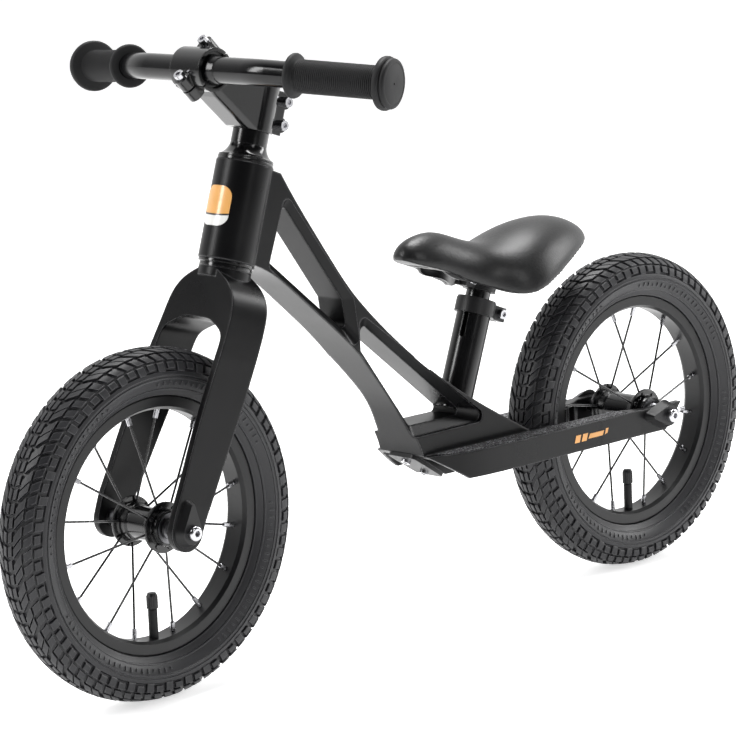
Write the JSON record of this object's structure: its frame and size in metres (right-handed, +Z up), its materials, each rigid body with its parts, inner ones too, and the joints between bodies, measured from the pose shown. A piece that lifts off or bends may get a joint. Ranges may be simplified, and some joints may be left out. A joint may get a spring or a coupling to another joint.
{
  "type": "balance bike",
  "caption": "Child's balance bike with a cast open-window frame and footrests, spoked air-filled wheels, turning fork with swept handlebar and a height-adjustable padded saddle.",
  "frame": {"origin": "on the ground plane, midway between the two wheel axles, on the bike's centre plane", "axes": "+X to the bike's front, +Y to its left, +Z up"},
  "size_m": [0.893, 0.389, 0.5467],
  "materials": {
    "frame_satin": "satin black powder coat",
    "tube_satin": "satin black",
    "gloss_black": "gloss black",
    "rim_black": "satin black",
    "tyre_rubber": "matte, moulded tread",
    "rubber_black": "matte ribbed",
    "butyl": "matte",
    "rim_tape": "matte",
    "spoke_black": "satin black",
    "nickel": "bright nickel",
    "steel": "turned",
    "chrome": "polished",
    "plastic_black": "fine texture",
    "saddle_skin": "fine-grained soft cover",
    "grit_tape": "gritty, speckled",
    "badge": "printed badge"
  },
  "bodies": {
    "frame": {"frame_casting": "frame_satin", "seat_tube": "tube_satin", "seat_clamp_collar": "plastic_black", "seat_clamp_bolt": "chrome", "grip_tape": "grit_tape", "head_badge": "badge", "skid_plate": "plastic_black", "skid_plate_bolts": "chrome", "headset_cups": "gloss_black", "headset_bearings": "steel", "rear_axle": "steel", "rear_axle_bolts": "chrome", "rear_axle_caps": "plastic_black", "rear_locknuts": "steel", "axle_adjusters": "steel", "adjuster_nuts": "nickel"},
    "steering": {"fork": "frame_satin", "steerer_tube": "steel", "crown_race": "gloss_black", "headset_cover": "gloss_black", "headset_spacer": "tube_satin", "stem": "gloss_black", "stem_faceplate": "gloss_black", "faceplate_bolts": "chrome", "stem_clamp_bolts": "chrome", "top_cap": "plastic_black", "top_cap_bolt": "chrome", "star_nut": "steel", "handlebar": "tube_satin", "left_grip": "rubber_black", "right_grip": "rubber_black", "front_axle": "steel", "front_axle_bolts": "chrome", "front_axle_caps": "plastic_black", "front_locknuts": "steel"},
    "seat": {"seatpost": "gloss_black", "saddle_clamp": "plastic_black", "saddle_clamp_bolt": "chrome", "saddle_base": "plastic_black", "saddle_cover": "saddle_skin"},
    "front_wheel": {"front_tyre": "tyre_rubber", "front_inner_tube": "butyl", "front_rim": "rim_black", "front_rim_tape": "rim_tape", "front_spokes": "spoke_black", "front_spoke_nipples": "nickel", "front_hub": "gloss_black", "front_hub_bearings": "steel", "front_valve": "rubber_black", "front_valve_cap": "plastic_black"},
    "rear_wheel": {"rear_tyre": "tyre_rubber", "rear_inner_tube": "butyl", "rear_rim": "rim_black", "rear_rim_tape": "rim_tape", "rear_spokes": "spoke_black", "rear_spoke_nipples": "nickel", "rear_hub": "gloss_black", "rear_hub_bearings": "steel", "rear_valve": "rubber_black", "rear_valve_cap": "plastic_black"}
  },
  "joints": [
    {"name": "steering_turn", "type": "hinge", "parent": "frame", "child": "steering", "pos_m": [0.1973, 0, 0.3549], "axis": [-0.309, 0, 0.9511], "range_deg": [-90, 90]},
    {"name": "front_wheel_spin", "type": "hinge", "parent": "steering", "child": "front_wheel", "pos_m": [0.298, 0, 0.1485], "axis": [0, 1, 0], "continuous": true},
    {"name": "rear_wheel_spin", "type": "hinge", "parent": "frame", "child": "rear_wheel", "pos_m": [-0.298, 0, 0.1485], "axis": [0, 1, 0], "continuous": true},
    {"name": "seat_height", "type": "slide", "parent": "frame", "child": "seat", "axis": [-0.3518, 0, 0.9361], "range_m": [-0.005, 0.06]}
  ]
}
